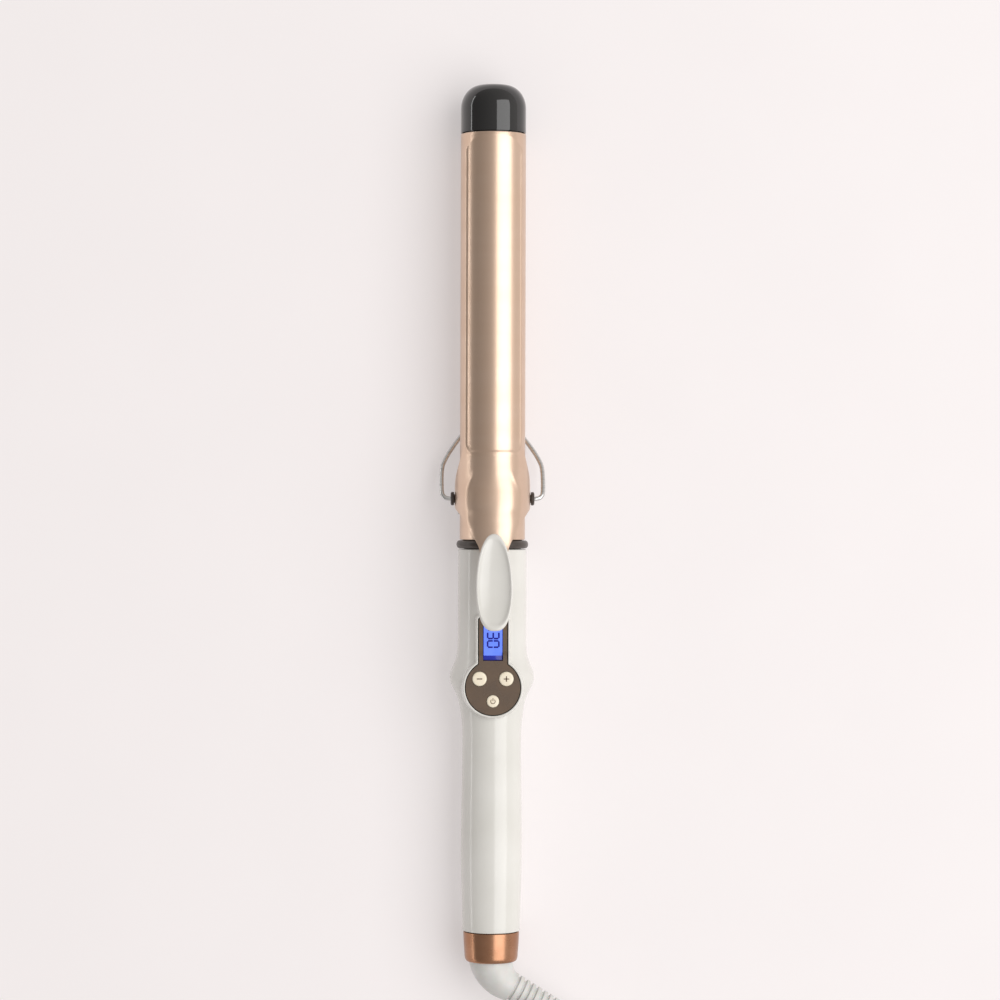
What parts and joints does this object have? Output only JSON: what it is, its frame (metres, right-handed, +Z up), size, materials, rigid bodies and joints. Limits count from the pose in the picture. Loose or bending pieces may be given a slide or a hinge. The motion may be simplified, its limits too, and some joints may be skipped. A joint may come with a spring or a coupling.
{
  "type": "curling wand",
  "caption": "Hair curling wand with a sprung clip on a round heated barrel, a fold-out wire stand and a digital handle.",
  "frame": {"origin": "on the table, under the middle of the wand's length and width, with the wand lying clip upward", "axes": "+Y along the wand to its tip, +Z up through the clip and the control panel, +X to the right seen from above with the tip away"},
  "size_m": [0.0767, 0.5243, 0.049],
  "materials": {
    "black_gloss": "polished",
    "champagne_metal": "anodised, satin polished",
    "copper_metal": "metallic, polished",
    "chrome_wire": "mirror",
    "screw_steel": "plain",
    "spring_steel": "tempered",
    "aluminium": "milled",
    "brass": "plain",
    "brown_plastic": "satin",
    "white_plastic": "gloss",
    "taupe_plastic": "satin",
    "ivory_plastic": "satin",
    "display": "gloss",
    "circuit_laminate": "solder mask",
    "dark_plastic": "matt",
    "ceramic": "bisque",
    "boot_rubber": "satin",
    "cord_jacket": "satin",
    "plug_plastic": "satin",
    "tie_strap": "woven",
    "red_wire": "satin",
    "blue_wire": "satin",
    "sensor_sleeve": "braided glass fibre",
    "capacitor_film": "gloss"
  },
  "bodies": {
    "wand": {"barrel_collar": "brown_plastic", "barrel_tip_cap": "black_gloss", "barrel_tube": "champagne_metal", "circuit_board": "circuit_laminate", "clip_spring": "spring_steel", "contact_brush_live": "brass", "contact_brush_neutral": "brass", "contact_holder": "dark_plastic", "control_chip": "dark_plastic", "control_panel": "taupe_plastic", "display_module": "dark_plastic", "display_window": "display", "end_cap": "copper_metal", "handle_front_shell": "white_plastic", "handle_rear_shell": "white_plastic", "handle_screw": "screw_steel", "heater_block_lower": "aluminium", "heater_block_upper": "aluminium", "heater_triac": "dark_plastic", "heater_wire_live": "red_wire", "heater_wire_neutral": "blue_wire", "heating_element": "ceramic", "mains_capacitor": "capacitor_film", "mains_wire_live": "red_wire", "mains_wire_neutral": "blue_wire", "pivot_band": "screw_steel", "pivot_bush_left": "brown_plastic", "pivot_bush_right": "brown_plastic", "sensor_wire": "sensor_sleeve", "spring_rivet": "screw_steel", "switch_minus": "dark_plastic", "switch_plus": "dark_plastic", "switch_power": "dark_plastic", "temperature_sensor": "black_gloss", "triac_heat_sink": "aluminium"},
    "clip": {"clip_plate": "champagne_metal", "thumb_lever": "white_plastic", "lever_screw": "screw_steel"},
    "stand": {"stand_wire": "chrome_wire"},
    "minus_button": {"button_minus": "ivory_plastic"},
    "plus_button": {"button_plus": "ivory_plastic"},
    "power_button": {"button_power": "ivory_plastic"},
    "cord_swivel": {"swivel_hub": "boot_rubber", "slip_ring_outer": "brass", "slip_ring_inner": "brass", "strain_relief": "boot_rubber", "cord_lead": "cord_jacket", "cord_hank": "cord_jacket", "cord_tie": "tie_strap", "cord_tail": "cord_jacket", "plug_strain_relief": "plug_plastic", "plug_body": "plug_plastic", "plug_blade_left": "brass", "plug_blade_right": "brass"}
  },
  "joints": [
    {"name": "clip_hinge", "type": "hinge", "parent": "wand", "child": "clip", "pos_m": [0, 0.00935, 0.01505], "axis": [1, 0, 0], "range_deg": [0, 16], "stiffness_Nm_per_rad": 0.6, "springref_deg": -20.05, "deforming": ["clip_spring"]},
    {"name": "stand_hinge", "type": "hinge", "parent": "wand", "child": "stand", "pos_m": [0, 0.00935, 0.01505], "axis": [-1, 0, 0], "range_deg": [0, 75]},
    {"name": "minus_button_press", "type": "slide", "parent": "wand", "child": "minus_button", "axis": [0, 0, -1], "range_m": [0, 0.0006], "stiffness_N_per_m": 600, "springref_m": -0.0004},
    {"name": "plus_button_press", "type": "slide", "parent": "wand", "child": "plus_button", "axis": [0, 0, -1], "range_m": [0, 0.0006], "stiffness_N_per_m": 600, "springref_m": -0.0004},
    {"name": "power_button_press", "type": "slide", "parent": "wand", "child": "power_button", "axis": [0, 0, -1], "range_m": [0, 0.0006], "stiffness_N_per_m": 600, "springref_m": -0.0004},
    {"name": "cord_swivel_turn", "type": "hinge", "parent": "wand", "child": "cord_swivel", "pos_m": [0, -0.16035, 0.01505], "axis": [0, 1, 0], "continuous": true}
  ]
}
